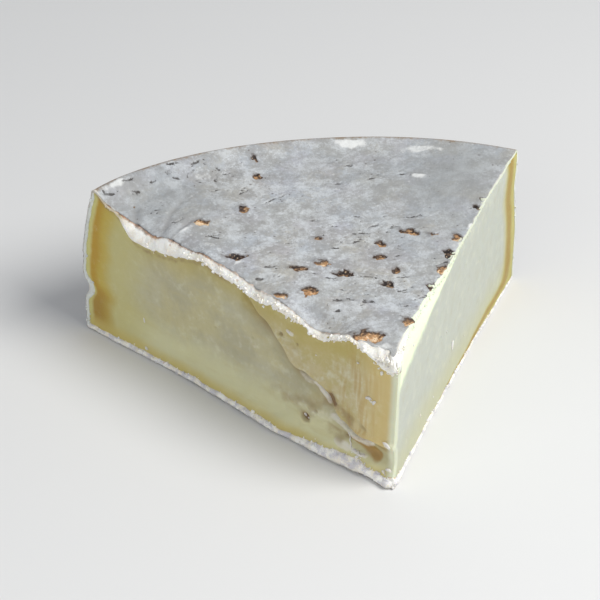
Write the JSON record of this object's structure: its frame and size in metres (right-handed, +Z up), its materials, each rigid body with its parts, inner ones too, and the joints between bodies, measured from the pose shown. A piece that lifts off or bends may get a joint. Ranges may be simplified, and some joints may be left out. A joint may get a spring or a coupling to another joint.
{
  "type": "natural rind cheese wedge",
  "caption": "Wedge cut from a round soft pressed cheese, with a dished grey top rind, a bulging rind side and pale cut faces that meet at a tip.",
  "frame": {"origin": "middle of the bounding box's underside, on the surface that the wedge rests on", "axes": "+Z up, square to the flat base; +X across the wedge, from one cut face to the other; the rind side faces +Y and the tip points to -Y"},
  "size_m": [0.1246, 0.111, 0.0452],
  "materials": {
    "cheese": "pale cream paste with an ochre band under a dry grey mould rind"
  },
  "bodies": {
    "root": {"cheese_wedge": "cheese"}
  },
  "joints": []
}
